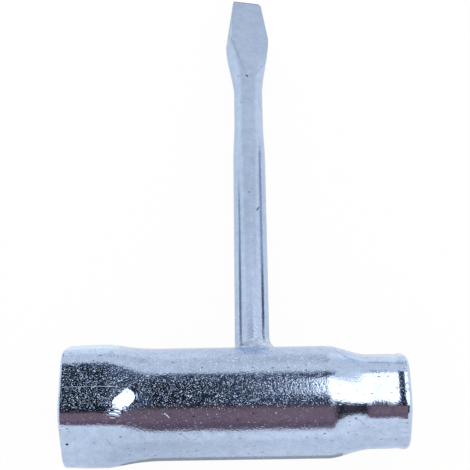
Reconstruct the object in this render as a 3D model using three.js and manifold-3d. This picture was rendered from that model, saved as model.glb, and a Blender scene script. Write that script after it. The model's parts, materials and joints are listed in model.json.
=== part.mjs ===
// Chainsaw combination wrench: a steel tube swaged to a hexagon socket at each end, with a round shank
// welded across it whose free end is forged to a flat screwdriver blade.
// Millimetres. In the tool's own axes the tube lies along X, the shank leaves it along +Y and Z is square
// to both. The finished tool lies on a level surface, with its shank dipped until the blade touches.

import * as THREE from 'three';
import { mergeVertices } from 'three/addons/utils/BufferGeometryUtils.js';
import Module from 'manifold-3d';

// Tube
const TUBE_LENGTH = 76;
const TUBE_DIAMETER = 25;
const TUBE_WALL = 3;

// Sockets: the nuts are measured across their flats
const LARGE_NUT = 19;
const SMALL_NUT = 13;
const NUT_CLEARANCE = 0.25;
const LARGE_SOCKET_WALL = 3.65;
const SMALL_SOCKET_WALL = 3.65;
const LARGE_SOCKET_DEPTH = 9.5;
const SMALL_SOCKET_DEPTH = 8.4;
const LARGE_SHOULDER = 11.7;
const SMALL_SHOULDER = 9.6;
const LARGE_CORNER_RADIUS = 6.8;
const SMALL_CORNER_RADIUS = 6.6;
const SOCKET_CORNER_RADIUS = 0.8;
const MOUTH_DRAFT = 0.25;
const MOUTH_DRAFT_LENGTH = 5;
const RIM_CHAMFER = 0.5;
const MOUTH_CHAMFER = 0.8;

// How early each shoulder turns away from its socket: 1 is even, less is earlier
const LARGE_SHOULDER_LEAN = 0.75;
const SMALL_SHOULDER_LEAN = 1;

// Shank: its reach runs from the tube's axis to the blade's tip
const SHANK_DIAMETER = 8;
const SHANK_OFFSET = 3.7;
const SHANK_REACH = 114.7;
const SHANK_CLEARANCE = 0.25;
const NECK_DIAMETER = 7.3;
const NECK_TAPER = 11;
const NECK_LENGTH = 9;

// Blade: its lengths run back from the tip, and its left shoulder lies further back than its right one
const BLADE_LENGTH = 30.4;
const LEFT_TAPER = 15.3;
const RIGHT_TAPER = 11.1;
const BLADE_WIDTH = 11.3;
const BLADE_FLAT_LENGTH = 23.4;
const TIP_WIDTH = 7.4;
const TIP_THICKNESS = 1.1;
const TIP_CORNER = 0.5;
const BLADE_TWIST_DEGREES = 12;

// Weld: its leg lies along the tube, and both leg and height are larger on the small socket's side
const WELD_LEG = 1.9;
const WELD_LEAN = 1.4;
const WELD_HEIGHT = 2.9;
const WELD_RISE = 0.7;
const WELD_EDGE = 0.2;

// Facets
const HEXAGON_SIDES = 6;
const FLAT_STEPS = 2;
const CORNER_STEPS = 6;
const SHOULDER_STEPS = 8;
const SHANK_SIDE_STEPS = 8;
const SHANK_FACE_STEPS = 8;
const SHANK_TAPER_STEPS = 6;
const BLADE_STEPS = 22;
const HOLE_STEPS = 32;
const WELD_TURNS = 32;
const WELD_STEPS = 4;

const BORE_RADIUS = TUBE_DIAMETER / 2 - TUBE_WALL;
const HALF_CORNER = Math.PI / HEXAGON_SIDES;
const LARGE_SOCKET = {
  mouth: -TUBE_LENGTH / 2,
  inward: 1,
  nut: LARGE_NUT,
  wall: LARGE_SOCKET_WALL,
  depth: LARGE_SOCKET_DEPTH,
  shoulder: LARGE_SHOULDER,
  lean: LARGE_SHOULDER_LEAN,
  corner: LARGE_CORNER_RADIUS,
};
const SMALL_SOCKET = {
  mouth: TUBE_LENGTH / 2,
  inward: -1,
  nut: SMALL_NUT,
  wall: SMALL_SOCKET_WALL,
  depth: SMALL_SOCKET_DEPTH,
  shoulder: SMALL_SHOULDER,
  lean: SMALL_SHOULDER_LEAN,
  corner: SMALL_CORNER_RADIUS,
};

const wasm = await Module();
wasm.setup();

// Zinc plate over steel, brighter on the tube than on the drawn and forged shank
function zincPlate(color, roughness) {
  return new THREE.MeshStandardMaterial({ color, roughness, metalness: 0.9 });
}

function smooth(share) {
  const held = THREE.MathUtils.clamp(share, 0, 1);
  return held * held * (3 - 2 * held);
}

// Joins rings of equally many points into one closed surface. A looped row of rings joins its last ring
// to its first; an open row is closed at each end by a fan about the ring's middle.
function loft(rings, looped) {
  const count = rings[0].length;
  const points = rings.flat();
  const faces = [];
  const bands = looped ? rings.length : rings.length - 1;
  for (let band = 0; band < bands; band += 1) {
    const here = band * count;
    const next = ((band + 1) % rings.length) * count;
    for (let step = 0; step < count; step += 1) {
      const after = (step + 1) % count;
      faces.push(here + step, here + after, next + after);
      faces.push(here + step, next + after, next + step);
    }
  }
  if (!looped) {
    const first = points.push(middle(rings[0])) - 1;
    const last = points.push(middle(rings.at(-1))) - 1;
    const lastRing = (rings.length - 1) * count;
    for (let step = 0; step < count; step += 1) {
      const after = (step + 1) % count;
      faces.push(first, after, step);
      faces.push(last, lastRing + step, lastRing + after);
    }
  }
  const geometry = new THREE.BufferGeometry().setFromPoints(points);
  geometry.setIndex(faces);
  geometry.computeVertexNormals();
  return geometry;
}

function middle(ring) {
  const sum = ring.reduce((total, point) => total.add(point), new THREE.Vector3());
  return sum.divideScalar(ring.length);
}

// Closed solids for cutting, and back to a geometry
function solidOf(geometry) {
  const bare = geometry.clone();
  bare.deleteAttribute('normal');
  bare.deleteAttribute('uv');
  const merged = mergeVertices(bare);
  const mesh = new wasm.Mesh({
    numProp: 3,
    vertProperties: new Float32Array(merged.attributes.position.array),
    triVerts: new Uint32Array(merged.index.array),
  });
  return new wasm.Manifold(mesh);
}

function geometryOf(solid) {
  const mesh = solid.getMesh();
  const geometry = new THREE.BufferGeometry();
  geometry.setAttribute('position', new THREE.BufferAttribute(mesh.vertProperties, 3));
  geometry.setIndex(new THREE.BufferAttribute(mesh.triVerts, 1));
  geometry.computeVertexNormals();
  return geometry;
}

// One cross-section of the tube: a hexagon with rounded corners, one of them in line with the shank,
// blended with a circle. A share of 1 is the hexagon and 0 is the circle.
function tubeRing(x, halfFlats, cornerRadius, roundRadius, share) {
  const cornerReach = (halfFlats - cornerRadius) / Math.cos(HALF_CORNER);
  const outline = [];
  for (let side = 0; side < HEXAGON_SIDES; side += 1) {
    const corner = side * 2 * HALF_CORNER;
    const centre = new THREE.Vector2(cornerReach, 0).rotateAround(new THREE.Vector2(), corner);
    const nextCentre = centre.clone().rotateAround(new THREE.Vector2(), 2 * HALF_CORNER);
    for (let step = 0; step <= CORNER_STEPS; step += 1) {
      const angle = corner + HALF_CORNER * (2 * step / CORNER_STEPS - 1);
      outline.push(polar(angle, cornerRadius).add(centre));
    }
    const edge = polar(corner + HALF_CORNER, cornerRadius);
    for (let step = 1; step < FLAT_STEPS; step += 1) {
      outline.push(centre.clone().lerp(nextCentre, step / FLAT_STEPS).add(edge));
    }
  }
  return outline.map((point) => {
    const round = point.clone().setLength(roundRadius);
    const blended = round.lerp(point, share);
    return new THREE.Vector3(x, blended.x, blended.y);
  });
}

function polar(angle, radius) {
  return new THREE.Vector2(Math.cos(angle), Math.sin(angle)).multiplyScalar(radius);
}

// Rings from a socket's mouth in to the round part of the tube: its outside, and its bore
function outerRings(socket) {
  const halfFlats = (socket.nut + NUT_CLEARANCE) / 2 + socket.wall;
  const rings = [];
  const add = (distance, inset, share) => {
    const x = socket.mouth + socket.inward * distance;
    rings.push(tubeRing(x, halfFlats - inset, socket.corner - inset, TUBE_DIAMETER / 2, share));
  };
  add(0, MOUTH_DRAFT + RIM_CHAMFER, 1);
  add(RIM_CHAMFER, MOUTH_DRAFT, 1);
  add(MOUTH_DRAFT_LENGTH, 0, 1);
  for (let step = 0; step <= SHOULDER_STEPS; step += 1) {
    const along = step / SHOULDER_STEPS;
    add(socket.depth + along * socket.shoulder, 0, 1 - smooth(along ** socket.lean));
  }
  return rings;
}

function boreRings(socket) {
  const halfFlats = (socket.nut + NUT_CLEARANCE) / 2;
  const rings = [];
  const add = (distance, outset, share) => {
    const x = socket.mouth + socket.inward * distance;
    rings.push(tubeRing(x, halfFlats + outset, SOCKET_CORNER_RADIUS + outset, BORE_RADIUS, share));
  };
  add(0, MOUTH_CHAMFER, 1);
  add(MOUTH_CHAMFER, 0, 1);
  for (let step = 0; step <= SHOULDER_STEPS; step += 1) {
    const along = step / SHOULDER_STEPS;
    add(socket.depth + along * socket.shoulder, 0, 1 - smooth(along));
  }
  return rings;
}

function socketTube() {
  const outside = [...outerRings(LARGE_SOCKET), ...outerRings(SMALL_SOCKET).reverse()];
  const inside = [...boreRings(SMALL_SOCKET), ...boreRings(LARGE_SOCKET).reverse()];
  const body = solidOf(loft([...outside, ...inside], true));
  const holeRadius = SHANK_DIAMETER / 2 + SHANK_CLEARANCE;
  const drill = new THREE.CylinderGeometry(holeRadius, holeRadius, TUBE_DIAMETER, HOLE_STEPS);
  drill.translate(SHANK_OFFSET, TUBE_DIAMETER / 2, 0);
  const mesh = new THREE.Mesh(geometryOf(body.subtract(solidOf(drill))), zincPlate(0xb7c6de, 0.22));
  mesh.name = 'socket_tube';
  return mesh;
}

// One cross-section of the shank: an oval with its top and bottom cut flat, which may reach further to one
// side than to the other. On the round bar the flats stand clear of the oval, so nothing is cut.
function shankRing(reach, leftWidth, rightWidth, halfHeight, halfThickness, twist) {
  const flatAngle = Math.asin(Math.min(1, halfThickness / halfHeight));
  const sideAngle = Math.min(flatAngle, Math.PI / 4);
  const upper = [];
  for (let step = -SHANK_SIDE_STEPS / 2; step <= SHANK_SIDE_STEPS / 2; step += 1) {
    const angle = sideAngle * 2 * step / SHANK_SIDE_STEPS;
    upper.push(new THREE.Vector2(Math.cos(angle), halfHeight * Math.sin(angle)));
  }
  for (let step = 1; step < SHANK_FACE_STEPS; step += 1) {
    const across = Math.cos(sideAngle) * (1 - 2 * step / SHANK_FACE_STEPS);
    const oval = halfHeight * Math.sqrt(1 - across ** 2);
    upper.push(new THREE.Vector2(across, Math.min(oval, halfThickness)));
  }
  const lower = upper.map((point) => point.clone().negate());
  return [...upper, ...lower].map((point) => {
    point.x *= point.x > 0 ? rightWidth : leftWidth;
    point.rotateAround(new THREE.Vector2(), twist);
    return new THREE.Vector3(point.x, reach, -point.y);
  });
}

function driverShank() {
  const flareStart = SHANK_REACH - BLADE_LENGTH;
  const neckStart = flareStart - NECK_LENGTH;
  const taperStart = neckStart - NECK_TAPER;

  const rings = [];
  const add = (reach, corner) => {
    const drawn = smooth((reach - taperStart) / NECK_TAPER);
    const radius = THREE.MathUtils.lerp(SHANK_DIAMETER, NECK_DIAMETER, drawn) / 2;
    const [leftWidth, rightWidth] = [LEFT_TAPER, RIGHT_TAPER].map((taper) => {
      const spread = smooth((reach - flareStart) / (BLADE_LENGTH - taper));
      const tapered = Math.max(0, (reach - SHANK_REACH + taper) / taper);
      const spreadHalf = THREE.MathUtils.lerp(radius, BLADE_WIDTH / 2, spread);
      return spreadHalf - tapered * (BLADE_WIDTH - TIP_WIDTH) / 2 - corner;
    });
    const left = THREE.MathUtils.clamp((SHANK_REACH - reach) / BLADE_FLAT_LENGTH, 0, 1);
    const halfThickness = THREE.MathUtils.lerp(TIP_THICKNESS / 2, radius, left ** 2);
    const turned = smooth((reach - flareStart) / (BLADE_LENGTH - LEFT_TAPER));
    const twist = THREE.MathUtils.degToRad(BLADE_TWIST_DEGREES) * turned;
    rings.push(shankRing(reach, leftWidth, rightWidth, radius, halfThickness, twist));
  };

  add(BORE_RADIUS, 0);
  for (let step = 0; step <= SHANK_TAPER_STEPS; step += 1) {
    add(taperStart + NECK_TAPER * step / SHANK_TAPER_STEPS, 0);
  }
  for (let step = 0; step <= BLADE_STEPS; step += 1) {
    add(flareStart + (BLADE_LENGTH - TIP_CORNER) * step / BLADE_STEPS, 0);
  }
  add(SHANK_REACH, TIP_CORNER);

  const mesh = new THREE.Mesh(loft(rings, false), zincPlate(0xb2c1da, 0.3));
  mesh.position.x = SHANK_OFFSET;
  mesh.name = 'driver_shank';
  return mesh;
}

// A fillet between the tube and the foot of the shank, clear of both
function weldBead() {
  const innerRadius = SHANK_DIAMETER / 2 + SHANK_CLEARANCE;
  const seatRadius = TUBE_DIAMETER / 2 + SHANK_CLEARANCE;
  const rings = [];
  for (let turn = 0; turn < WELD_TURNS; turn += 1) {
    const angle = turn * 2 * Math.PI / WELD_TURNS;
    const seat = (radius) => Math.sqrt(seatRadius ** 2 - (radius * Math.sin(angle)) ** 2);
    const point = (radius, height) => {
      return new THREE.Vector3(radius * Math.cos(angle), height, -radius * Math.sin(angle));
    };
    const toe = innerRadius + WELD_LEG + WELD_LEAN * Math.cos(angle);
    const lip = innerRadius + WELD_EDGE;
    const top = seat(innerRadius) + WELD_HEIGHT + WELD_RISE * Math.cos(angle);
    const profile = [point(innerRadius, top)];
    for (let step = 0; step <= WELD_STEPS; step += 1) {
      const bend = Math.PI / 2 * step / WELD_STEPS;
      const radius = toe - (toe - lip) * Math.cos(bend);
      const foot = seat(toe) + WELD_EDGE;
      profile.push(point(radius, top - (top - foot) * Math.sin(bend)));
    }
    profile.push(point(toe, seat(toe)));
    profile.push(point(innerRadius, seat(innerRadius)));
    rings.push(profile);
  }
  const mesh = new THREE.Mesh(loft(rings, true), zincPlate(0xb4c2d8, 0.35));
  mesh.position.x = SHANK_OFFSET;
  mesh.name = 'weld_bead';
  return mesh;
}

function pointsOf(geometry) {
  const position = geometry.attributes.position;
  const pointAt = (_, index) => new THREE.Vector3().fromBufferAttribute(position, index);
  return Array.from({ length: position.count }, pointAt);
}

// How far the shank dips before it meets the level surface that the tube lies on
function restTilt(tube, shank) {
  const supports = pointsOf(tube);
  const tubeReach = Math.max(...supports.map((support) => support.y));
  const feet = pointsOf(shank).filter((foot) => foot.y > tubeReach);
  const slopes = feet.map((foot) => {
    return Math.max(...supports.map((support) => (foot.z - support.z) / (foot.y - support.y)));
  });
  return Math.atan(Math.min(...slopes));
}

const tube = socketTube();
const shank = driverShank();
const weld = weldBead();

const tool = new THREE.Group();
tool.add(tube, shank, weld);
tool.rotation.x = -restTilt(tube.geometry, shank.geometry);

// The origin is on the surface, under the middle of the resting tool
const wrench = new THREE.Group();
wrench.add(tool);
const extent = new THREE.Box3().setFromObject(wrench, true);
const centre = extent.getCenter(new THREE.Vector3());
tool.position.set(-centre.x, -centre.y, -extent.min.z);

export default wrench;
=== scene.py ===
# Looks of a chainsaw combination wrench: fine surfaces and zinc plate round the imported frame.
# Metres, in the frame's own axes: the tube lies along X, the shank runs to +Y and dips to the floor,
# and +Z is up.

import json
import math

import bpy
import numpy as np
from mathutils import Matrix, Vector, noise


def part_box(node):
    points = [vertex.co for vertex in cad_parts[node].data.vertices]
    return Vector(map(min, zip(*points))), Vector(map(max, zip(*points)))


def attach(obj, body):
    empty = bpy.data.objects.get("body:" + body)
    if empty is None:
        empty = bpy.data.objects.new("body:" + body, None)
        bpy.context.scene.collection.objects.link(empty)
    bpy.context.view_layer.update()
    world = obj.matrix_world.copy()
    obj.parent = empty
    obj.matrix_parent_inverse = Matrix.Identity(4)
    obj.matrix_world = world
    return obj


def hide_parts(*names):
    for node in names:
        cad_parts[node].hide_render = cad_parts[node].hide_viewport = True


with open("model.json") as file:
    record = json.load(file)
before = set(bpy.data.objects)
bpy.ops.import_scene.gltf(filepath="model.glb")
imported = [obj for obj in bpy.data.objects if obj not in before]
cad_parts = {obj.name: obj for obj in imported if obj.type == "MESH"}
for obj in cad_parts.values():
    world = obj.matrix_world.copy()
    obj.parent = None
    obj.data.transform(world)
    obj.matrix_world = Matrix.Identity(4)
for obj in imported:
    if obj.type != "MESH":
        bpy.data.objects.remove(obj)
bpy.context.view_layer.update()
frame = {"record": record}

MM = 0.001

# Frame: the tube's axis, and the shank's offset, direction and reach from that axis
tube_low, tube_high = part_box("socket_tube")
mounts = {mount["name"]: mount for mount in frame["record"]["mounts"]}
tip_middle = Vector(mounts["blade_tip"]["pos_m"])
TOOL_ORIGIN = (tube_low + tube_high) / 2
TOOL_X = Vector((1, 0, 0))
TOOL_Y = Vector(mounts["blade_tip"]["axis"]).normalized()
TOOL_Z = TOOL_X.cross(TOOL_Y)
TUBE_LENGTH = tube_high.x - tube_low.x
SHANK_OFFSET = tip_middle.x
SHANK_REACH = (tip_middle - TOOL_ORIGIN).dot(TOOL_Y)

# Tube
TUBE_RADIUS = 12.5 * MM
BORE_RADIUS = 9.5 * MM
MOUTH_DRAFT = 0.25 * MM
MOUTH_DRAFT_LENGTH = 5 * MM
MOUTH_CHAMFER = 0.8 * MM
SOCKET_CORNER_RADIUS = 0.8 * MM
LARGE_SOCKET = {
    "inward": 1,
    "half_nut": 9.625 * MM,
    "half_flats": 13.275 * MM,
    "corner": 6.8 * MM,
    "depth": 9.5 * MM,
    "shoulder": 11.7 * MM,
    "lean": 0.75,
    "lip": 0.0,
    "rim": 0.55 * MM,
}
SMALL_SOCKET = {
    "inward": -1,
    "half_nut": 6.625 * MM,
    "half_flats": 10.275 * MM,
    "corner": 6.6 * MM,
    "depth": 8.4 * MM,
    "shoulder": 9.6 * MM,
    "lean": 1.0,
    "lip": 0.3 * MM,
    "rim": 0.85 * MM,
}
LIP_PLACE = 1.1 * MM
LIP_WIDTH = 1.1 * MM
LIP_UNEVEN = 0.06
LIP_WAVES = 19
LIP_FINE_WAVES = 43
WAVE_HEIGHT = 0.03 * MM
WAVE_LENGTH = 5 * MM
WAVE_FADE = 3 * MM
PLATE_INSET = 0.03 * MM

# Dent at the large socket's shoulder, and the ridged lump beside it: places along the tube and round it
DENT_X = -23.9 * MM
DENT_ANGLE = math.radians(107)
DENT_TURN = math.radians(35)
DENT_HALF_LENGTH = 2.9 * MM
DENT_HALF_WIDTH = 1.65 * MM
DENT_SLOPE = 0.1
DENT_EDGE_FROM = 0.8
DENT_EDGE = 0.5
LUMP_X = -26.1 * MM
LUMP_ANGLE = math.radians(116.9)
LUMP_TURN = math.radians(-8)
LUMP_HALF_LENGTH = 1.9 * MM
LUMP_HALF_WIDTH = 1.4 * MM
LUMP_HEIGHT = 0.18 * MM
LUMP_EDGE_FROM = 0.6
LUMP_EDGE = 0.5
RIDGE_HEIGHT = 0.09 * MM
RIDGE_LENGTH = 0.6 * MM
RIDGE_BOW = 0.06

# Shank
SHANK_RADIUS = 4 * MM
SHANK_INSET = 0.02 * MM
NECK_RADIUS = 3.65 * MM
NECK_TAPER = 11 * MM
NECK_LENGTH = 9 * MM
BLADE_LENGTH = 30.4 * MM
LEFT_TAPER = 15.3 * MM
RIGHT_TAPER = 11.1 * MM
BLADE_WIDTH = 11.3 * MM
BLADE_FLAT_LENGTH = 27 * MM
TIP_WIDTH = 7.4 * MM
TIP_THICKNESS = 1.1 * MM
LEFT_TIP_CORNER = 0.35 * MM
RIGHT_TIP_CORNER = 1.0 * MM
TIP_EDGE_ROUND = 0.12 * MM
BLADE_CREASE = 0.02 * MM
BLADE_TWIST = math.radians(12)
FLAT_LEAD = math.radians(26)

# Weld
WELD_LEG = 1.9 * MM
WELD_LEAN = 1.4 * MM
WELD_HEIGHT = 2.9 * MM
WELD_RISE = 0.7 * MM
WELD_FRONT_LESS = 0.7 * MM
WELD_SINK = 0.3 * MM
WELD_RIPPLE = 0.1 * MM
WELD_RIPPLES = 22
WELD_OVERLAP = 0.05 * MM

# Fineness of the meshes: the tube's rings lie closer at the lump, and the shank's at the blade and tip
RING_STEP = 0.35 * MM
CLOSE_RING_STEP = 0.13 * MM
BORE_RING_STEP = 0.9 * MM
CLOSE_FROM = math.radians(90)
CLOSE_TO = math.radians(128)
CLOSE_ANGLE_STEP = math.radians(0.6)
WIDE_ANGLES = 230
SHANK_RING_STEP = 0.8 * MM
BLADE_RING_STEP = 0.3 * MM
BLADE_RINGS_LEAD = 12 * MM
BLADE_RINGS_STOP = 1.2 * MM
TIP_RINGS_FROM = 1.1 * MM
TIP_RINGS = 14
SIDE_POINTS = 21
FACE_POINTS = 47
WELD_TURNS = 120
WELD_BENDS = 15

# Plate: how fine its patterns are, and the side of the tube that has most of the frosted flecks
CLOUD_SCALE = 0.03 / MM
MOTTLE_SCALE = 0.6 / MM
SCUFF_SCALE = 3.2 / MM
CLOUD_SHARE = 0.4
MOTTLE_SHARE = 0.3
SCUFF_SHARE = 0.3
SCUFF_STRETCH = (0.5, 1.0, 1.0)
PIT_SCALE = 1.1 / MM
PIT_CORE = 0.08
PIT_EDGE = 0.22
PIT_DEPTH = 0.62
PIT_SINK = 0.8
FINE_GRAIN = 2.3
FINE_GRAIN_SHARE = 0.3
FLECK_LENGTH = 0.225 * MM
FLECK_EDGE = 0.035
FLECK_FADE = 1.2 * MM
FLECK_FEWER = 0.1
FLECK_ROUGHNESS = 0.5
SMALL_END_FROM = 0.2
SMALL_END_FULL = 0.27
SMALL_END_FEWER = 0.05
FLECK_SIDE = TOOL_Y * math.cos(math.radians(22)) + TOOL_Z * math.sin(math.radians(22))
FLECK_FROM = TOOL_ORIGIN.dot(FLECK_SIDE)

# Camera, fitted to the photograph's outline. Pixels are of a 470 by 470 image.
IMAGE_SIZE = 470
FOCAL_PIXELS = 1238.6
CAMERA_DISTANCE = 276.9 * MM
CAMERA_ELEVATION = math.radians(66.57)
CAMERA_AZIMUTH = math.radians(2.36)
CAMERA_ROLL = math.radians(-3.23)
TUBE_MIDDLE_PIXEL = (236.6, 403.3)
SENSOR_WIDTH = 36.0

# Studio: cards bent round the tube's axis, by their angle from +Y towards +Z and their span along X,
# and flat ones. Their angles are in degrees, and their places in millimetres.
CARD_RADIUS = 300 * MM
CARD_STEPS = 24
FLAG_LEFT = -220
FLAG_FROM = 58
FLAG_TO = 111
OLIVE_TO = 115.5
WARM_TO = 160.5
BLUE_LEFT = -8
WINDOW_LEFT = 40
WINDOW_FULL = 75
WINDOW_RIGHT = 420
WINDOW_EDGE_TO = 86
WINDOW_TO = 100
WARM_LEFT = -250
WARM_RIGHT = 110
MAUVE_TO_LEFT = 140
MAUVE_TO_RIGHT = 145
CURL_RIGHT = 135
PINCH_LEFT = 200
SLANT_FOOT = (0, 27.6, 33.5)
LEFT_BAR_X = -60
RIGHT_BAR_X = 66
WALL_Y = 500
WALL_HALF_WIDTH = 500
WALL_FROM = 30
WALL_TO = 750
SHADE_Y = 495
SHADE_LEFT = -12
SHADE_RIGHT = 62
SHADE_TO = 190
BACK_FLOOR_FROM = -34
BACK_FLOOR_TO = 250
BACK_FLOOR_END = 250
ABOVE_FLOOR = 0.4

# Floor: half its width, and how far its white shows through its shadow, to the camera and in the plate
FLOOR_HALF_WIDTH = 2.0
FLOOR_SEEN = 0.95
FLOOR_MIRRORED = 0.4


def smooth(share):
    held = np.clip(share, 0, 1)
    return held * held * (3 - 2 * held)


def to_row(points):
    """Points in the tool's own axes, moved to where the frame holds the tool."""
    axes = np.array([TOOL_X, TOOL_Y, TOOL_Z])
    return np.asarray(points) @ axes + np.array(TOOL_ORIGIN)


def add_object(name, points, faces):
    mesh = bpy.data.meshes.new(name)
    mesh.from_pydata([tuple(point) for point in points], [], faces)
    mesh.validate()
    mesh.shade_smooth()
    piece = bpy.data.objects.new(name, mesh)
    bpy.context.scene.collection.objects.link(piece)
    return piece


def ring_faces(ring_count, point_count, looped):
    faces = []
    for band in range(ring_count if looped else ring_count - 1):
        here = band * point_count
        above = (band + 1) % ring_count * point_count
        for step in range(point_count):
            after = (step + 1) % point_count
            faces.append((here + step, here + after, above + after, above + step))
    return faces


def add_piece(name, points, faces, node, material):
    piece = add_object(name, to_row(points), faces)
    piece.data.materials.append(material)
    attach(piece, "root")
    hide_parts(node)
    return piece


# Tube

def hexagon_radius(angle, half_flats, corner_radius):
    """How far a hexagon with rounded corners reaches at an angle from one of its corners."""
    sixth = math.pi / 6
    centre = (half_flats - corner_radius) / math.cos(sixth)
    folded = np.abs((angle + sixth) % (2 * sixth) - sixth)
    arc_end = np.arctan2(corner_radius * math.sin(sixth), centre + corner_radius * math.cos(sixth))
    on_arc = np.sqrt(np.maximum(0, corner_radius ** 2 - (centre * np.sin(folded)) ** 2))
    on_arc = on_arc + centre * np.cos(folded)
    on_flat = half_flats / np.cos(sixth - folded)
    return np.where(folded < arc_end, on_arc, on_flat)


def ring_angles():
    """Angles round the tube, closer together at the lump."""
    close = np.arange(CLOSE_FROM, CLOSE_TO, CLOSE_ANGLE_STEP)
    wide = np.linspace(CLOSE_TO, CLOSE_FROM + 2 * math.pi, WIDE_ANGLES)[:-1]
    return np.concatenate([close, wide])


def outside_stations(socket):
    """Distances from a socket's mouth to the tube's middle, and how far the rim is rounded at each."""
    bend = np.linspace(0, math.pi / 2, 8)
    rim = [(socket["rim"] * (1 - math.cos(b)), socket["rim"] * (1 - math.sin(b))) for b in bend]
    rest = np.arange(socket["rim"] + 0.3 * MM, TUBE_LENGTH / 2, RING_STEP)
    if socket["inward"] > 0:
        lump_from = TUBE_LENGTH / 2 + LUMP_X - 2 * LUMP_HALF_LENGTH
        lump_to = TUBE_LENGTH / 2 + DENT_X + 1.2 * DENT_HALF_LENGTH
        close = np.arange(lump_from, lump_to, CLOSE_RING_STEP)
        before = rest[rest < lump_from - 0.1 * MM]
        beyond = rest[rest > lump_to + 0.1 * MM]
        rest = np.concatenate([before, close, beyond])
    return rim + [(distance, 0.0) for distance in rest]


def outside_radius(socket, distance, angle):
    draft = MOUTH_DRAFT * max(0, 1 - distance / MOUTH_DRAFT_LENGTH)
    uneven = 1 + LIP_UNEVEN * (np.sin(LIP_WAVES * angle) + np.sin(LIP_FINE_WAVES * angle + 1))
    lip = socket["lip"] * math.exp(-((distance - LIP_PLACE) / LIP_WIDTH) ** 2)
    inset = draft - lip * uneven
    along = np.clip((distance - socket["depth"]) / socket["shoulder"], 0, 1)
    share = 1 - smooth(along ** socket["lean"])
    hexagon = hexagon_radius(angle, socket["half_flats"] - inset, socket["corner"] - inset)
    return TUBE_RADIUS + share * (hexagon - TUBE_RADIUS)


def bore_stations():
    bend = np.linspace(0, 1, 5)
    chamfer = [(MOUTH_CHAMFER * share, MOUTH_CHAMFER * (1 - share) ** 1.6) for share in bend]
    rest = np.arange(MOUTH_CHAMFER + 0.5 * MM, TUBE_LENGTH / 2, BORE_RING_STEP)
    return chamfer + [(distance, 0.0) for distance in rest]


def bore_radius(socket, distance, outset, angle):
    along = np.clip((distance - socket["depth"]) / socket["shoulder"], 0, 1)
    share = 1 - smooth(along)
    corner = SOCKET_CORNER_RADIUS + outset
    hexagon = hexagon_radius(angle, socket["half_nut"] + outset, corner)
    return BORE_RADIUS + share * (hexagon - BORE_RADIUS)


def wave(point):
    return (noise.noise(Vector(point) / WAVE_LENGTH) - 1) / 2


def shoulder_marks(x, angle):
    """How far the dent and the ridged lump raise the tube's outside at places along and round it."""
    def local(mark_x, mark_angle, turn):
        along = x - mark_x
        round_it = TUBE_RADIUS * (mark_angle - angle)
        return (
            along * math.cos(turn) + round_it * math.sin(turn),
            round_it * math.cos(turn) - along * math.sin(turn),
        )

    length, width = local(DENT_X, DENT_ANGLE, DENT_TURN)
    beyond = np.maximum(0, np.abs(length) - DENT_HALF_LENGTH + DENT_HALF_WIDTH)
    from_axis = np.hypot(beyond, width) / DENT_HALF_WIDTH
    inside = 1 - smooth((from_axis - DENT_EDGE_FROM) / DENT_EDGE)
    raised = inside * -DENT_SLOPE * (x - DENT_X)

    length, width = local(LUMP_X, LUMP_ANGLE, LUMP_TURN)
    from_middle = np.hypot(length / LUMP_HALF_LENGTH, width / LUMP_HALF_WIDTH)
    lump = 1 - smooth((from_middle - LUMP_EDGE_FROM) / LUMP_EDGE)
    bowed = width + RIDGE_BOW * length ** 2 / MM
    ridges = np.cos(2 * math.pi * bowed / RIDGE_LENGTH)
    return raised + lump * (LUMP_HEIGHT + RIDGE_HEIGHT * ridges)


def tube_rings():
    angles = ring_angles()

    def ring(socket, distance, radius):
        x = socket["inward"] * (distance - TUBE_LENGTH / 2)
        return np.column_stack([
            np.full_like(angles, x), radius * np.cos(angles), radius * np.sin(angles),
        ])

    def outside(socket):
        rings = []
        for distance, rounding in outside_stations(socket):
            radius = outside_radius(socket, distance, angles) - PLATE_INSET - rounding
            x = socket["inward"] * (distance - TUBE_LENGTH / 2)
            placed = ring(socket, distance, radius + shoulder_marks(x, angles))
            swell = np.array([wave(point) for point in placed]) * WAVE_HEIGHT
            fade = smooth(distance / WAVE_FADE)
            placed[:, 1] += fade * swell * np.cos(angles)
            placed[:, 2] += fade * swell * np.sin(angles)
            rings.append(placed)
        return rings

    def bore(socket):
        return [
            ring(socket, distance, bore_radius(socket, distance, outset, angles))
            for distance, outset in bore_stations()
        ]

    def face(socket):
        outer = outside_radius(socket, 0, angles) - PLATE_INSET - socket["rim"]
        inner = bore_radius(socket, 0, MOUTH_CHAMFER, angles)
        return [ring(socket, 0, outer + share * (inner - outer)) for share in (0.25, 0.5, 0.75)]

    outer_rings = outside(LARGE_SOCKET) + outside(SMALL_SOCKET)[::-1]
    inner_rings = bore(SMALL_SOCKET) + bore(LARGE_SOCKET)[::-1]
    return outer_rings + face(SMALL_SOCKET) + inner_rings + face(LARGE_SOCKET)[::-1]


def make_tube(material):
    rings = tube_rings()
    faces = ring_faces(len(rings), len(rings[0]), True)
    points = np.concatenate(rings)
    return add_piece("swaged_tube", points, faces, "socket_tube", material)


# Shank

def soft_least(first, second, width):
    """The lesser of two heights, with the crease between them rounded."""
    gap = np.clip(1 - np.abs(first - second) / (4 * width), 0, 1)
    return np.maximum(0, np.minimum(first, second) - width * gap ** 2)


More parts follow.
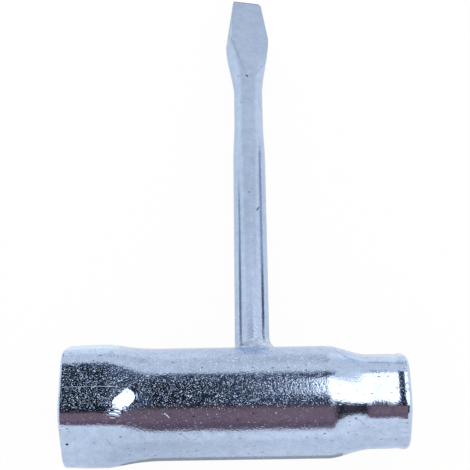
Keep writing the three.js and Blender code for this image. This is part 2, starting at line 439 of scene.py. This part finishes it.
def shank_ring(reach):
    flare_start = SHANK_REACH - BLADE_LENGTH
    taper_start = flare_start - NECK_LENGTH - NECK_TAPER
    to_tip = SHANK_REACH - reach
    drawn = smooth((reach - taper_start) / NECK_TAPER)
    radius = SHANK_RADIUS + drawn * (NECK_RADIUS - SHANK_RADIUS) - SHANK_INSET

    def half_width(taper, corner):
        spread = smooth((reach - flare_start) / (BLADE_LENGTH - taper))
        tapered = max(0, 1 - to_tip / taper)
        into = max(0, corner - to_tip)
        rounding = corner - math.sqrt(max(0, corner ** 2 - into ** 2))
        wide = radius + spread * (BLADE_WIDTH / 2 - radius)
        return wide - tapered * (BLADE_WIDTH - TIP_WIDTH) / 2 - rounding

    left_share = np.clip(to_tip / BLADE_FLAT_LENGTH, 0, 1)
    half_thickness = TIP_THICKNESS / 2 + (radius - TIP_THICKNESS / 2) * left_share ** 2
    edge = max(0, TIP_EDGE_ROUND - to_tip)
    half_thickness = half_thickness - TIP_EDGE_ROUND + math.sqrt(TIP_EDGE_ROUND ** 2 - edge ** 2)

    side = np.linspace(-math.pi / 4, math.pi / 4, SIDE_POINTS)
    across = np.linspace(math.sin(math.pi / 4), -math.sin(math.pi / 4), FACE_POINTS)[1:-1]
    unit_x = np.concatenate([np.cos(side), across])
    unit_y = np.concatenate([np.sin(side), np.sqrt(1 - across ** 2)])
    unit_x = np.concatenate([unit_x, -unit_x])
    unit_y = np.concatenate([unit_y, -unit_y])
    right = half_width(RIGHT_TAPER, RIGHT_TIP_CORNER)
    left = half_width(LEFT_TAPER, LEFT_TIP_CORNER)
    x = unit_x * np.where(unit_x > 0, right, left)
    oval = np.abs(unit_y) * radius
    turned = smooth((reach - flare_start) / (BLADE_LENGTH - LEFT_TAPER))
    lead = math.tan(FLAT_LEAD) * left_share * turned
    flat = half_thickness - np.where(unit_y > 0, x * lead, 0)
    y = np.sign(unit_y) * np.where(turned > 0, soft_least(oval, flat, BLADE_CREASE), oval)
    twist = BLADE_TWIST * turned
    turned_x = x * math.cos(twist) + y * math.sin(twist)
    turned_z = y * math.cos(twist) - x * math.sin(twist)
    return np.column_stack([SHANK_OFFSET + turned_x, np.full_like(x, reach), turned_z])


def make_shank(material):
    blade_start = SHANK_REACH - BLADE_FLAT_LENGTH - BLADE_RINGS_LEAD
    reaches = np.concatenate([
        np.arange(BORE_RADIUS, blade_start, SHANK_RING_STEP),
        np.arange(blade_start, SHANK_REACH - BLADE_RINGS_STOP, BLADE_RING_STEP),
        SHANK_REACH - TIP_RINGS_FROM * (1 - np.linspace(0, 1, TIP_RINGS) ** 0.5),
    ])
    rings = [shank_ring(reach) for reach in reaches]
    count = len(rings[0])
    points = np.concatenate(rings)
    faces = [face[::-1] for face in ring_faces(len(rings), count, False)]
    first_middle = len(points)
    points = np.vstack([points, rings[0].mean(0), rings[-1].mean(0)])
    last_ring = (len(rings) - 1) * count
    for step in range(count):
        after = (step + 1) % count
        faces.append((first_middle, step, after))
        faces.append((first_middle + 1, last_ring + after, last_ring + step))
    return add_piece("forged_shank", points, faces, "driver_shank", material)


# Weld

def weld_section(angle):
    """The fillet's section at an angle round the shank, from the shank down to the tube and back."""
    ripple = WELD_RIPPLE * math.sin(WELD_RIPPLES * angle + 2 * math.sin(3 * angle))
    front = WELD_FRONT_LESS * max(0, math.sin(angle))
    toe = SHANK_RADIUS + WELD_LEG - front + WELD_LEAN * math.cos(angle) + ripple
    inner = SHANK_RADIUS - WELD_SINK

    def seat(radius):
        return math.sqrt(TUBE_RADIUS ** 2 - (radius * math.sin(angle)) ** 2)

    def place(radius, height):
        return (SHANK_OFFSET + radius * math.cos(angle), height, radius * math.sin(angle))

    top = seat(SHANK_RADIUS) + WELD_HEIGHT + WELD_RISE * math.cos(angle)
    foot = seat(toe) - WELD_OVERLAP
    section = [place(inner, top + WELD_SINK)]
    for bend in np.linspace(0, math.pi / 2, WELD_BENDS):
        radius = toe - (toe - SHANK_RADIUS + WELD_OVERLAP) * math.cos(bend)
        section.append(place(radius, top - (top - foot) * math.sin(bend)))
    section.append(place(toe, foot - WELD_SINK))
    section.append(place(inner, seat(inner) - WELD_SINK))
    return section


def make_weld(material):
    rings = [weld_section(2 * math.pi * turn / WELD_TURNS) for turn in range(WELD_TURNS)]
    faces = ring_faces(WELD_TURNS, len(rings[0]), True)
    points = np.concatenate(rings)
    return add_piece("fillet_weld", points, faces, "weld_bead", material)


# Materials

class Nodes:
    """Adds nodes to one tree and joins them up."""

    def __init__(self, tree):
        self.tree = tree
        tree.nodes.clear()

    def add(self, kind, inputs=None, **settings):
        node = self.tree.nodes.new(kind)
        for name, value in settings.items():
            setattr(node, name, value)
        for key, value in (inputs or {}).items():
            if isinstance(value, bpy.types.NodeSocket):
                self.tree.links.new(value, node.inputs[key])
            else:
                node.inputs[key].default_value = value
        return node

    def maths(self, operation, first, second=0.0, **settings):
        node = self.add("ShaderNodeMath", {0: first, 1: second}, operation=operation, **settings)
        return node.outputs[0]

    def vector(self, operation, first, second, output="Vector"):
        node = self.add("ShaderNodeVectorMath", {0: first, 1: second}, operation=operation)
        return node.outputs[output]

    def noise(self, vector, scale, detail=2.0, roughness=0.5):
        inputs = {"Vector": vector, "Scale": scale, "Detail": detail, "Roughness": roughness}
        return self.add("ShaderNodeTexNoise", inputs).outputs["Fac"]

    def remap(self, value, low, high, to_low, to_high):
        inputs = {"Value": value, "From Min": low, "From Max": high, "To Min": to_low, "To Max": to_high}
        return self.add("ShaderNodeMapRange", inputs).outputs["Result"]

    def mix(self, factor, first, second):
        node = self.add("ShaderNodeMix", {0: factor, 6: first, 7: second}, data_type="RGBA")
        return node.outputs[2]


def srgb(red, green, blue):
    """A colour written in 0 to 255 steps, as the shaders take it."""
    def linear(step):
        share = step / 255
        return share / 12.92 if share <= 0.04045 else ((share + 0.055) / 1.055) ** 2.4
    return (linear(red), linear(green), linear(blue), 1.0)


PIT_COLOUR = srgb(52, 60, 80)
# Dark marks: real pits and scuffs, and lines of painted shade
MARK_AND_SHADE_COLOUR = srgb(24, 27, 34)
FROST_DARK = srgb(140, 170, 220)
FROST_LIGHT = srgb(226, 242, 255)


def on_tube(x, degrees):
    """A place on the tube's outside, by its place along the tube and its angle round it."""
    angle = math.radians(degrees)
    socket = LARGE_SOCKET if x < 0 else SMALL_SOCKET
    radius = outside_radius(socket, TUBE_LENGTH / 2 - abs(x) * MM, np.array([angle]))[0]
    return to_row([(x * MM, radius * math.cos(angle), radius * math.sin(angle))])[0]


def on_shank(x, reach):
    """A place on the shank's upper side, by its X in the tool and its reach from the tube's axis."""
    upper = [point for point in shank_ring(reach * MM) if point[2] > 0]
    upper.sort(key=lambda point: point[0])
    height = np.interp(x * MM, [point[0] for point in upper], [point[2] for point in upper])
    return to_row([(x * MM, reach * MM, height)])[0]


def mark_line(surface, spots, half_width, strength):
    """A thin mark through a row of spots on a surface, as one straight piece between each two."""
    places = [surface(*spot) for spot in spots]
    return [(start, end, half_width * MM, strength) for start, end in zip(places, places[1:])]


def tube_dark_marks():
    """The pits by the large socket, painted shade along the curl and the ridge of the small shoulder,
    and a few scuffs.
    """
    marks = mark_line(on_tube, [(-36.5, 150.5), (-36.4, 150.5)], 0.35, 1.0)
    marks += mark_line(on_tube, [(-29.6, 62.5), (-28.5, 61.5)], 0.13, 1.0)
    marks += mark_line(on_tube, [(-14.2, 66), (-13.2, 65.5)], 0.1, 1.0)
    # Painted reflection: a faint dark curl on the small shoulder, where the dark cards are mirrored
    marks += mark_line(on_tube, [(25.6, 131.3), (26.8, 134), (27.7, 140.8)], 0.16, 0.25)
    # Painted shade: a soft dark line along the small shoulder's ridge
    ridge = [(21.2, 37.9), (22.6, 48.9), (24.0, 56.0), (25.7, 59.0)]
    ridge += [(29.4, 60.3), (33.3, 62.1), (36.6, 63.8)]
    marks += mark_line(on_tube, ridge, 0.24, 0.28)
    marks += mark_line(on_tube, [(18.0, 64.8), (19.6, 60.4)], 0.1, 0.5)
    marks += mark_line(on_tube, [(18.8, 69.2), (20.8, 64.0)], 0.1, 0.45)
    marks += mark_line(on_tube, [(-20.6, 143.5), (-19.4, 148.4)], 0.09, 0.45)
    marks += mark_line(on_tube, [(-11.4, 144.3), (-10.2, 149.3)], 0.09, 0.45)
    marks += mark_line(on_tube, [(-9.6, 156.0), (-7.9, 154.7)], 0.1, 0.4)
    marks += mark_line(on_tube, [(-27.9, 144.6), (-27.0, 151.7)], 0.09, 0.4)
    return marks


def tube_bright_marks():
    """Two short scratches, and the long fine one on the large hexagon."""
    marks = mark_line(on_tube, [(-20.8, 72.5), (-19.9, 67)], 0.13, 1.0)
    marks += mark_line(on_tube, [(-15.2, 120.5), (-14.2, 125)], 0.12, 1.0)
    marks += mark_line(on_tube, [(x, 94) for x in (-37.2, -33, -29, -25.2)], 0.08, 0.6)
    return marks


def shank_dark_marks():
    """Painted shade along the crease where the blade's flat starts, a darker line along its tip edge,
    and a few pits.
    """
    # Painted shade: a faint dark line along the crease between the flat and the left side facet
    crease = [(-1.1 + 4.7 * share, 102.6 - 14.7 * share) for share in np.linspace(0, 1, 9)]
    tip_edge = [(x, 114.5) for x in (0.3, 2.6, 4.8, 6.9)]
    marks = mark_line(on_shank, crease, 0.2, 0.16)
    marks += mark_line(on_shank, tip_edge, 0.22, 0.3)
    marks += mark_line(on_shank, [(3.3, 88.3), (3.64, 87.9)], 0.25, 0.9)
    marks += mark_line(on_shank, [(1.2, 88.6), (1.3, 88.4)], 0.2, 0.4)
    marks += mark_line(on_shank, [(3.5, 52.9), (3.6, 52.9)], 0.2, 0.7)
    marks += mark_line(on_shank, [(5.4, 48.0), (5.8, 48.8)], 0.22, 0.8)
    return marks


def scratch(nodes, place, start, end, half_width, strength):
    """How much each place lies on a straight mark between two points."""
    along = Vector(end) - Vector(start)
    offset = nodes.vector("SUBTRACT", place, tuple(start))
    dot = nodes.vector("DOT_PRODUCT", offset, tuple(along), "Value")
    share = nodes.maths("DIVIDE", dot, along.length_squared, use_clamp=True)
    foot = nodes.add("ShaderNodeVectorMath", {0: tuple(along), "Scale": share}, operation="SCALE")
    gap = nodes.vector("DISTANCE", offset, foot.outputs["Vector"], "Value")
    return nodes.remap(gap, half_width * 0.6, half_width, strength, 0.0)


def plate_tint(nodes, place, cloud, stretched):
    """Where the plate is lighter: broad clouds, a mottle and fine scuffs, from 0 to 1."""
    mottle = nodes.noise(place, MOTTLE_SCALE, 2.0)
    scuff = nodes.noise(stretched, SCUFF_SCALE, 2.0, 0.8)
    broad = nodes.maths("MULTIPLY", cloud, CLOUD_SHARE)
    tint = nodes.maths("ADD", broad, nodes.maths("MULTIPLY", mottle, MOTTLE_SHARE))
    tint = nodes.maths("ADD", tint, nodes.maths("MULTIPLY", scuff, SCUFF_SHARE))
    return nodes.remap(tint, 0.4, 0.6, 0.0, 1.0)


def plate_pits(nodes, stretched, pit_share):
    """Where the pits are: a spot in the middle of some cells."""
    pits = nodes.add("ShaderNodeTexVoronoi", {"Vector": stretched, "Scale": PIT_SCALE})
    chosen = nodes.add("ShaderNodeSeparateColor", {0: pits.outputs["Color"]}).outputs[0]
    near = nodes.remap(pits.outputs["Distance"], PIT_CORE, PIT_EDGE, 1.0, 0.0)
    return nodes.maths("MULTIPLY", near, nodes.maths("LESS_THAN", chosen, pit_share))


def plate_flecks(nodes, place, frost, bright_marks):
    """Where the frosted flecks are, with fewer of them in front and towards the small socket."""
    dots = nodes.noise(place, 1 / FLECK_LENGTH, 1.0)
    thin = nodes.noise(place, 0.3 / FLECK_LENGTH, 2.0)
    dots = nodes.maths("ADD", dots, nodes.maths("MULTIPLY", nodes.maths("SUBTRACT", thin, 0.5), 0.3))
    parts = nodes.add("ShaderNodeSeparateXYZ", {0: place})
    along_y = nodes.maths("MULTIPLY", parts.outputs[1], FLECK_SIDE.y)
    behind = nodes.maths("ADD", along_y, nodes.maths("MULTIPLY", parts.outputs[2], FLECK_SIDE.z))
    fewer = nodes.remap(behind, FLECK_FROM, FLECK_FROM - FLECK_FADE, 0.0, FLECK_FEWER)
    small_from = SMALL_END_FROM * TUBE_LENGTH
    small_full = SMALL_END_FULL * TUBE_LENGTH
    small_end = nodes.remap(parts.outputs[0], small_from, small_full, 0.0, SMALL_END_FEWER)
    dots = nodes.maths("SUBTRACT", nodes.maths("SUBTRACT", dots, fewer), small_end)
    fleck = nodes.remap(dots, frost, frost + FLECK_EDGE, 0.0, 1.0)
    for mark in bright_marks:
        fleck = nodes.maths("MAXIMUM", fleck, scratch(nodes, place, *mark))
    return fleck


def plate_bump(nodes, place, pit, grain, grain_length):
    """The grain of the plate and the hollows of its pits."""
    coarse = nodes.noise(place, 1 / grain_length, 2.0, 0.6)
    fine = nodes.noise(place, FINE_GRAIN / grain_length, 1.0, 0.5)
    height = nodes.maths("ADD", coarse, nodes.maths("MULTIPLY", fine, FINE_GRAIN_SHARE))
    height = nodes.maths("SUBTRACT", height, nodes.maths("MULTIPLY", pit, PIT_SINK))
    bump = nodes.add("ShaderNodeBump", {"Strength": 1.0, "Distance": grain, "Height": height})
    return bump.outputs[0]


def zinc_plate(
    name, light, shade, roughness, grain, grain_length, frost, pit_share, dark_marks_and_shade=(), bright_marks=(),
):
    """Bright zinc with a fine grain, frosted flecks over a share of it, and a few dark pits."""
    material = bpy.data.materials.new(name)
    material.use_nodes = True
    nodes = Nodes(material.node_tree)
    place = nodes.add("ShaderNodeTexCoord").outputs["Object"]
    cloud = nodes.noise(place, CLOUD_SCALE, 3.0)
    stretched = nodes.vector("MULTIPLY", place, SCUFF_STRETCH)
    colour = nodes.mix(plate_tint(nodes, place, cloud, stretched), shade, light)
    pit = plate_pits(nodes, stretched, pit_share)
    colour = nodes.mix(nodes.maths("MULTIPLY", pit, PIT_DEPTH), colour, PIT_COLOUR)
    # Dark marks: real pits and scuffs, and lines of painted shade along creases, ridges and a curl
    for mark in dark_marks_and_shade:
        colour = nodes.mix(scratch(nodes, place, *mark), colour, MARK_AND_SHADE_COLOUR)

    fleck = plate_flecks(nodes, place, frost, bright_marks)
    bright = nodes.remap(nodes.noise(place, 0.8 / FLECK_LENGTH, 0.0), 0.35, 0.65, 0.0, 1.0)
    colour = nodes.mix(fleck, colour, nodes.mix(bright, FROST_DARK, FROST_LIGHT))
    metal = nodes.remap(fleck, 0.0, 1.0, 1.0, 0.0)
    gloss = nodes.remap(cloud, 0.3, 0.7, roughness * 0.8, roughness * 1.2)
    gloss = nodes.maths("ADD", gloss, nodes.maths("MULTIPLY", fleck, FLECK_ROUGHNESS))
    bump = plate_bump(nodes, place, pit, grain, grain_length)
    shader = nodes.add("ShaderNodeBsdfPrincipled", {
        "Base Color": colour, "Metallic": metal, "Roughness": gloss, "Normal": bump,
    })
    nodes.add("ShaderNodeOutputMaterial", {"Surface": shader.outputs[0]})
    return material


# Studio

def dappled_material(name, dark, bright, spot, cover):
    """A dark cloth with small bright gaps in it."""
    material = bpy.data.materials.new(name)
    material.use_nodes = True
    nodes = Nodes(material.node_tree)
    place = nodes.add("ShaderNodeTexCoord").outputs["Object"]
    gap = nodes.remap(nodes.noise(place, 1 / spot, 1.0), cover, cover + 0.05, 0.0, 1.0)
    glow = nodes.add("ShaderNodeEmission", {"Color": nodes.mix(gap, dark, bright)})
    nodes.add("ShaderNodeOutputMaterial", {"Surface": glow.outputs[0]})
    return material


def card_material(name, colour, strength=1.0):
    material = bpy.data.materials.new(name)
    material.use_nodes = True
    nodes = Nodes(material.node_tree)
    glow = nodes.add("ShaderNodeEmission", {"Color": colour, "Strength": strength})
    nodes.add("ShaderNodeOutputMaterial", {"Surface": glow.outputs[0]})
    return material


def only_in_reflections(card):
    card.visible_camera = False
    card.visible_diffuse = False
    card.visible_shadow = False
    card.visible_transmission = False


def flat_card(name, corners, material):
    card = add_object(name, corners, [(0, 1, 2, 3)])
    card.data.materials.append(material)
    only_in_reflections(card)
    return card


def bent_card(name, left, right, material):
    """A card bent round the tube's axis. Each end is a place along X and the angles that it spans."""
    points = []
    for share in np.linspace(0, 1, CARD_STEPS + 1):
        for x, angle_from, angle_to in (left, right):
            angle = math.radians(angle_from + share * (angle_to - angle_from))
            arm = Vector((0, math.cos(angle), math.sin(angle))) * CARD_RADIUS
            points.append(TOOL_ORIGIN + arm + Vector((x * MM, 0, 0)))
    faces = [(2 * step, 2 * step + 1, 2 * step + 3, 2 * step + 2) for step in range(CARD_STEPS)]
    card = add_object(name, points, faces)
    card.data.materials.append(material)
    only_in_reflections(card)
    return card


def slanted_flag(material):
    """Carries the overhead flag down towards the tube, edge on to what the shank reflects."""
    low = TOOL_ORIGIN + Vector(SLANT_FOOT) * MM
    angle = math.radians(FLAG_FROM)
    high = TOOL_ORIGIN + Vector((0, math.cos(angle), math.sin(angle))) * CARD_RADIUS
    corners = [
        low + Vector((-60 * MM, 0, 0)),
        low + Vector((36 * MM, 0, 0)),
        high + Vector((26 * MM, 0, 0)),
        high + Vector((FLAG_LEFT * MM, 0, 0)),
    ]
    return flat_card("slanted_flag", corners, material)


def side_bar(name, x, near, far, material):
    """An upright bar beside the tool, which draws a dark line along one side of the shank."""
    corners = [Vector((x, y, z)) * MM for y, z in (
        (near[0], near[1]), (far[0], far[1]), (far[0], far[2]), (near[0], near[2]),
    )]
    return flat_card(name, corners, material)


def back_wall(material):
    corners = [Vector(corner) * MM for corner in (
        (-WALL_HALF_WIDTH, WALL_Y, WALL_FROM),
        (WALL_HALF_WIDTH, WALL_Y, WALL_FROM),
        (WALL_HALF_WIDTH, WALL_Y, WALL_TO),
        (-WALL_HALF_WIDTH, WALL_Y, WALL_TO),
    )]
    return flat_card("back_wall", corners, material)


def back_floor(name, x_from, x_to, material):
    """A sheet of painted light on the floor behind one end of the tube, seen only in reflections."""
    corners = [Vector(corner) * MM for corner in (
        (x_from, BACK_FLOOR_FROM, ABOVE_FLOOR),
        (x_to, BACK_FLOOR_FROM, ABOVE_FLOOR),
        (x_to, BACK_FLOOR_TO, ABOVE_FLOOR),
        (x_from, BACK_FLOOR_TO, ABOVE_FLOOR),
    )]
    return flat_card(name, corners, material)


def floor_strip(name, near, far, material):
    """A strip of painted floor shade, seen only in reflections. Each edge is a place along Y, and where
    along X it starts and ends.
    """
    corners = [Vector(corner) * MM for corner in (
        (near[1], near[0], ABOVE_FLOOR),
        (near[2], near[0], ABOVE_FLOOR),
        (far[2], far[0], ABOVE_FLOOR),
        (far[1], far[0], ABOVE_FLOOR),
    )]
    return flat_card(name, corners, material)


def back_shade(material):
    """Painted shade on the back wall: its dimmer foot, behind the right half of the tube."""
    corners = [Vector(corner) * MM for corner in (
        (SHADE_LEFT, SHADE_Y, 0),
        (SHADE_RIGHT, SHADE_Y, 0),
        (SHADE_RIGHT, SHADE_Y, SHADE_TO),
        (SHADE_LEFT, SHADE_Y, SHADE_TO),
    )]
    return flat_card("back_shade", corners, material)


def add_floor():
    half = FLOOR_HALF_WIDTH
    points = [(-half, -half, 0), (half, -half, 0), (half, half, 0), (-half, half, 0)]
    floor = add_object("floor", points, [(0, 1, 2, 3)])
    material = bpy.data.materials.new("pale_floor")
    material.use_nodes = True
    nodes = Nodes(material.node_tree)
    path = nodes.add("ShaderNodeLightPath")
    seen = nodes.maths("MAXIMUM", path.outputs["Is Camera Ray"], path.outputs["Is Transmission Ray"])
    mirrored = nodes.maths("MULTIPLY", path.outputs["Is Glossy Ray"], FLOOR_MIRRORED)
    seen = nodes.maths("MAXIMUM", nodes.maths("MULTIPLY", seen, FLOOR_SEEN), mirrored)
    paint = nodes.add("ShaderNodeBsdfDiffuse", {"Color": (0.95, 0.95, 0.95, 1.0)})
    glow = nodes.add("ShaderNodeEmission", {"Color": (1.0, 1.0, 1.0, 1.0), "Strength": 1.0})
    blend = nodes.add("ShaderNodeMixShader", {0: seen, 1: paint.outputs[0], 2: glow.outputs[0]})
    nodes.add("ShaderNodeOutputMaterial", {"Surface": blend.outputs[0]})
    floor.data.materials.append(material)


def add_world():
    world = bpy.data.worlds.new("white_studio")
    world.use_nodes = True
    nodes = Nodes(world.node_tree)
    sky = nodes.add("ShaderNodeBackground", {"Color": (1.0, 1.0, 1.0, 1.0), "Strength": 1.0})
    nodes.add("ShaderNodeOutputWorld", {"Surface": sky.outputs[0]})
    bpy.context.scene.world = world


def add_camera():
    elevation, azimuth, roll = CAMERA_ELEVATION, CAMERA_AZIMUTH, CAMERA_ROLL
    back = Vector((
        math.sin(azimuth) * math.cos(elevation),
        -math.cos(azimuth) * math.cos(elevation),
        math.sin(elevation),
    ))
    level = Vector((math.cos(azimuth), math.sin(azimuth), 0))
    rise = back.cross(level)
    right = level * math.cos(roll) + rise * math.sin(roll)
    up = rise * math.cos(roll) - level * math.sin(roll)
    aside = (IMAGE_SIZE / 2 - TUBE_MIDDLE_PIXEL[0]) / FOCAL_PIXELS * CAMERA_DISTANCE
    above = (TUBE_MIDDLE_PIXEL[1] - IMAGE_SIZE / 2) / FOCAL_PIXELS * CAMERA_DISTANCE
    place = TOOL_ORIGIN + back * CAMERA_DISTANCE + right * aside + up * above
    data = bpy.data.cameras.new("camera")
    data.sensor_width = SENSOR_WIDTH
    data.lens = SENSOR_WIDTH * FOCAL_PIXELS / IMAGE_SIZE
    data.clip_start = 10 * MM
    camera = bpy.data.objects.new("camera", data)
    turn = Matrix((right, up, back)).transposed()
    camera.matrix_world = Matrix.Translation(place) @ turn.to_4x4()
    bpy.context.scene.collection.objects.link(camera)
    bpy.context.scene.camera = camera


def add_overhead_cards():
    """The dark flags above the tube, and the window over the small socket."""
    flag_dark = dappled_material(
        "flag_dark", (0.006, 0.009, 0.018, 1.0), (0.8, 0.84, 0.9, 1.0), 9 * MM, 0.7,
    )
    flag_blue = dappled_material(
        "flag_blue", (0.025, 0.045, 0.09, 1.0), (0.7, 0.76, 0.85, 1.0), 9 * MM, 0.66,
    )
    window_white = card_material("window_white", (1.0, 1.0, 1.0, 1.0), 2.6)
    blue_left = (BLUE_LEFT, FLAG_FROM, FLAG_TO)
    edge_low = (WINDOW_LEFT, FLAG_FROM, WINDOW_EDGE_TO)
    edge_high = (WINDOW_LEFT, WINDOW_EDGE_TO, FLAG_TO)
    window_low = (WINDOW_FULL, FLAG_FROM, WINDOW_TO)
    window_high = (WINDOW_FULL, WINDOW_TO, FLAG_TO)
    bent_card("overhead_flag", (FLAG_LEFT, FLAG_FROM, FLAG_TO), blue_left, flag_dark)
    bent_card("blue_flag", blue_left, (WINDOW_LEFT, FLAG_FROM, FLAG_TO), flag_blue)
    slanted_flag(flag_blue)
    bent_card("window_edge", edge_low, window_low, window_white)
    bent_card("window_shade", edge_high, window_high, flag_dark)
    bent_card("window", window_low, (WINDOW_RIGHT, 56, 104), window_white)
    return flag_dark


def add_front_cards(flag_dark):
    """The warm cards in front, which draw the plum band and its pinch at the small shoulder."""
    card_olive = card_material("card_olive", (0.14, 0.088, 0.075, 1.0))
    card_mauve = card_material("card_mauve", (0.28, 0.17, 0.19, 1.0))
    card_plum = card_material("card_plum", (0.19, 0.118, 0.148, 1.0))
    card_umber = card_material("card_umber", (0.1, 0.065, 0.075, 1.0))
    mauve_left = (WARM_LEFT, OLIVE_TO, MAUVE_TO_LEFT)
    mauve_right = (WARM_RIGHT, OLIVE_TO, MAUVE_TO_RIGHT)
    plum_left = (WARM_LEFT, MAUVE_TO_LEFT, WARM_TO)
    plum_right = (WARM_RIGHT, MAUVE_TO_RIGHT, WARM_TO)
    curl_right = (CURL_RIGHT, 101, 148)
    pinch_left = (PINCH_LEFT, 106, 142)
    bent_card("olive_edge", (WARM_LEFT, FLAG_TO, OLIVE_TO), (WARM_RIGHT, FLAG_TO, OLIVE_TO), card_olive)
    bent_card("front_card", mauve_left, mauve_right, card_mauve)
    bent_card("plum_edge", plum_left, plum_right, card_plum)
    bent_card("curl_edge", (WARM_RIGHT, WINDOW_TO, WARM_TO), curl_right, card_umber)
    bent_card("curl_flag", curl_right, pinch_left, flag_dark)
    bent_card("pinch_flag", pinch_left, (WINDOW_RIGHT, 107, 136), card_umber)


def add_side_bars():
    """The bars that draw a dark line along each side of the shank."""
    bar_dark = card_material("bar_dark", (0.06, 0.075, 0.11, 1.0))
    bar_grey = card_material("bar_grey", (0.24, 0.27, 0.32, 1.0))
    bar_pale = card_material("bar_pale", (0.44, 0.5, 0.58, 1.0))
    side_bar("left_bar", LEFT_BAR_X, (-8, 9, 33), (22, 6.5, 30.5), bar_grey)
    side_bar("left_bar_end", LEFT_BAR_X, (22, 7.5, 30.5), (44, 6, 26), bar_pale)
    side_bar("right_bar", RIGHT_BAR_X, (-6, 6, 31), (14, 4, 27), bar_dark)
    side_bar("right_bar_end", RIGHT_BAR_X, (14, 4, 30), (60, 0, 26), bar_pale)


def add_surroundings():
    """The wall behind, and painted shade and light on the wall's foot and on the floor, seen only in
    reflections.
    """
    wall_grey = card_material("wall_grey", (0.82, 0.83, 0.84, 1.0))
    wall_dim = card_material("wall_dim", (0.64, 0.65, 0.66, 1.0))
    floor_shade = card_material("floor_shade", (0.85, 0.86, 0.87, 1.0))
    floor_painted_shadow = card_material("floor_painted_shadow", (0.38, 0.4, 0.42, 1.0))
    floor_dim = card_material("floor_dim", (0.76, 0.77, 0.78, 1.0))
    floor_bright = card_material("floor_bright", (0.97, 1.04, 1.06, 1.0))
    back_wall(wall_grey)
    back_shade(wall_dim)
    # Painted shadow: the tube's shadow on the floor close in front of it, and softer shade further out
    # and behind the shank
    floor_strip("near_painted_shadow", (-57, -26, 23), (-69, -26, 27), floor_painted_shadow)
    floor_strip("front_strip", (-71, -26, 62), (-300, -52, 115), floor_shade)
    floor_strip("back_strip", (55, -6, 30), (SHADE_Y, SHADE_LEFT, SHADE_RIGHT), floor_dim)
    back_floor("left_floor", -BACK_FLOOR_END, -28, floor_bright)
    back_floor("right_floor", 38, BACK_FLOOR_END, floor_bright)


def tube_zinc():
    light = srgb(196, 213, 242)
    shade = srgb(172, 189, 216)
    return zinc_plate(
        "tube_zinc", light, shade, roughness=0.12, grain=0.032 * MM, grain_length=0.5 * MM,
        frost=0.608, pit_share=0.45, dark_marks_and_shade=tube_dark_marks(), bright_marks=tube_bright_marks(),
    )


def shank_zinc():
    light = srgb(189, 206, 234)
    shade = srgb(169, 186, 214)
    return zinc_plate(
        "shank_zinc", light, shade, roughness=0.14, grain=0.018 * MM, grain_length=0.4 * MM,
        frost=0.78, pit_share=0.05, dark_marks_and_shade=shank_dark_marks(),
    )


def weld_zinc():
    # Painted highlight and shade: these two tones lie far apart, so the weld's mottle paints highlights
    # and shade at random places
    light = srgb(222, 236, 255)
    shade = srgb(132, 150, 186)
    return zinc_plate(
        "weld_zinc", light, shade, roughness=0.16, grain=0.05 * MM, grain_length=0.4 * MM,
        frost=0.7, pit_share=0.2,
    )


# Scene

add_camera()
add_world()
add_floor()
add_front_cards(add_overhead_cards())
add_side_bars()
add_surroundings()
make_tube(tube_zinc())
make_shank(shank_zinc())
make_weld(weld_zinc())

bpy.context.scene.view_settings.view_transform = "Standard"
